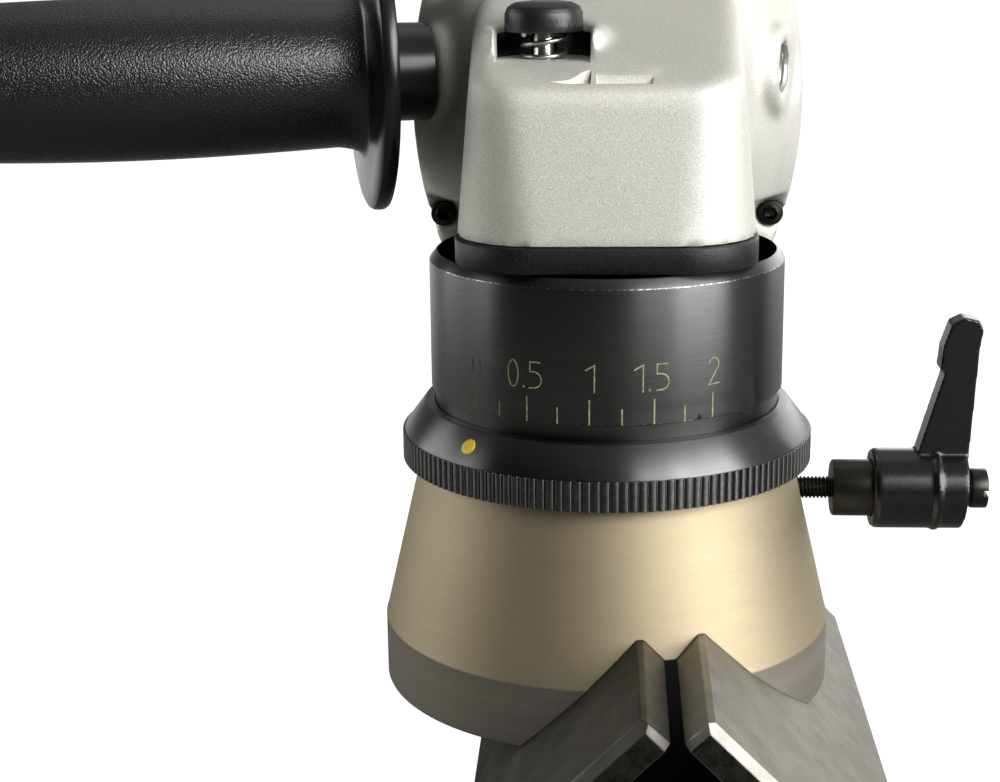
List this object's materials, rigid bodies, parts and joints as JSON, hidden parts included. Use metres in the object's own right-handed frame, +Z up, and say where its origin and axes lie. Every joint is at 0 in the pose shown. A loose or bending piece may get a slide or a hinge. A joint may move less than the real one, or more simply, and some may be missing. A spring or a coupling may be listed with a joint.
{
  "type": "hand-held edge chamfering machine",
  "caption": "Hand-held electric edge-chamfering head: bevel-gear motor, conical V-guide body with knurled depth ring, scale sleeve and clamp lever.",
  "frame": {"origin": "where the spindle axis meets the plane on which the feet of the two V rails stand", "axes": "+Z up along the spindle, +Y back along the motor, +X towards the clamp lever"},
  "size_m": [0.2927, 0.4751, 0.2242],
  "materials": {
    "bronze_anodised": "turned and champagne-bronze anodised, satin",
    "ground_steel": "surface-ground tool steel, dark, bright bevels",
    "steel_screws": "zinc-plated steel",
    "black_anodised": "turned and black anodised, semi-gloss",
    "yellow_paint": "yellow paint in a drilled spot",
    "black_steel": "blackened steel",
    "black_cast": "cast and black powder-coated, fine grain",
    "cast_aluminium": "die-cast and shot-blasted",
    "gear_steel": "case-hardened steel, ground",
    "bearing_steel": "polished bearing steel",
    "tool_steel": "nickel-plated tool steel",
    "coated_carbide": "titanium nitride coated carbide",
    "laminations": "varnished silicon-steel stampings",
    "copper_wire": "enamelled copper wire",
    "copper_bars": "turned copper bars",
    "black_plastic": "moulded glass-filled nylon",
    "brass": "bent and turned brass",
    "carbon": "pressed carbon",
    "housing_plastic": "moulded glass-filled nylon, fine spark texture",
    "lever_zinc": "die-cast zinc, black powder coat",
    "button_plastic": "moulded nylon, satin",
    "bright_steel": "ground and polished steel",
    "grip_plastic": "soft moulded grip with a leather-like grain",
    "rubber_gland": "moulded rubber"
  },
  "bodies": {
    "machine": {"scale_sleeve": "black_anodised", "sleeve_screws": "black_steel", "bearing_plate": "black_cast", "plate_screws": "black_steel", "gear_case": "cast_aluminium", "spindle_bearing_outers": "bearing_steel", "motor_bearing_outers": "bearing_steel", "stator_core": "laminations", "field_coils": "copper_wire", "air_baffle": "black_plastic", "brush_holders": "brass", "carbon_brushes": "carbon", "brush_springs": "steel_screws", "motor_housing": "housing_plastic", "flange_screws": "black_steel", "lock_spring": "steel_screws", "side_grip": "grip_plastic", "grip_stud": "steel_screws", "rear_handle_left": "housing_plastic", "rear_handle_right": "housing_plastic", "handle_screws": "steel_screws", "switch_body": "black_plastic", "paddle_pin": "steel_screws", "cord_gland": "rubber_gland"},
    "guide": {"guide_body": "bronze_anodised", "left_rail": "ground_steel", "right_rail": "ground_steel", "rail_screws": "steel_screws", "guide_pin": "steel_screws", "retaining_ring": "steel_screws"},
    "depth_ring": {"depth_ring": "black_anodised", "index_dot": "yellow_paint"},
    "spindle": {"spindle": "gear_steel", "crown_gear": "gear_steel", "spindle_bearing_inners": "bearing_steel", "cutter_head": "tool_steel", "cutter_inserts": "coated_carbide", "insert_screws": "black_steel", "cutter_bolt": "black_steel"},
    "armature": {"armature_shaft": "gear_steel", "pinion": "gear_steel", "armature_core": "laminations", "armature_windings": "copper_wire", "commutator": "copper_bars", "fan": "black_plastic", "motor_bearing_inners": "bearing_steel"},
    "pad": {"thrust_pad": "brass"},
    "stud": {"clamp_stud": "black_steel", "lever_screw": "black_steel", "lever_spring": "steel_screws"},
    "lever": {"clamp_lever": "lever_zinc"},
    "lock": {"lock_button": "button_plastic", "lock_pin": "bright_steel"},
    "paddle": {"switch_paddle": "grip_plastic"}
  },
  "joints": [
    {"name": "guide_lift", "type": "slide", "parent": "machine", "child": "guide", "axis": [0, 0, 1], "range_m": [-0.00009, 0.00133]},
    {"name": "ring_turn", "type": "hinge", "parent": "guide", "child": "depth_ring", "pos_m": [0, 0, 0.089], "axis": [0, 0, 1], "range_deg": [-5.3, 79.55]},
    {"name": "spindle_spin", "type": "hinge", "parent": "machine", "child": "spindle", "pos_m": [0, 0, 0.1], "axis": [0, 0, 1], "continuous": true},
    {"name": "armature_spin", "type": "hinge", "parent": "machine", "child": "armature", "pos_m": [0, 0.1, 0.1697], "axis": [0, 1, 0], "continuous": true},
    {"name": "pad_slide", "type": "slide", "parent": "guide", "child": "pad", "axis": [1, 0, 0], "range_m": [0, 0.0003334]},
    {"name": "clamp_turn", "type": "hinge", "parent": "pad", "child": "stud", "pos_m": [0.075, 0, 0.0712], "axis": [1, 0, 0], "range_deg": [0, 120]},
    {"name": "lever_lift", "type": "slide", "parent": "stud", "child": "lever", "axis": [1, 0, 0], "range_m": [0, 0.004], "stiffness_N_per_m": 2000, "springref_m": -0.002},
    {"name": "lock_press", "type": "slide", "parent": "machine", "child": "lock", "axis": [0, 0, -1], "range_m": [0, 0.0035], "stiffness_N_per_m": 800, "springref_m": -0.003, "deforming": ["lock_spring"]},
    {"name": "paddle_press", "type": "hinge", "parent": "machine", "child": "paddle", "pos_m": [0, 0.249, 0.1487], "axis": [1, 0, 0], "range_deg": [0, 3.5], "stiffness_Nm_per_rad": 6, "springref_deg": -3.44}
  ],
  "couplings": [
    {"joint": "ring_turn", "follows": "guide_lift", "rad_per_m": 1047.2},
    {"joint": "spindle_spin", "follows": "armature_spin", "ratio": 0.33333},
    {"joint": "pad_slide", "follows": "clamp_turn", "m_per_rad": 0.00015915}
  ]
}
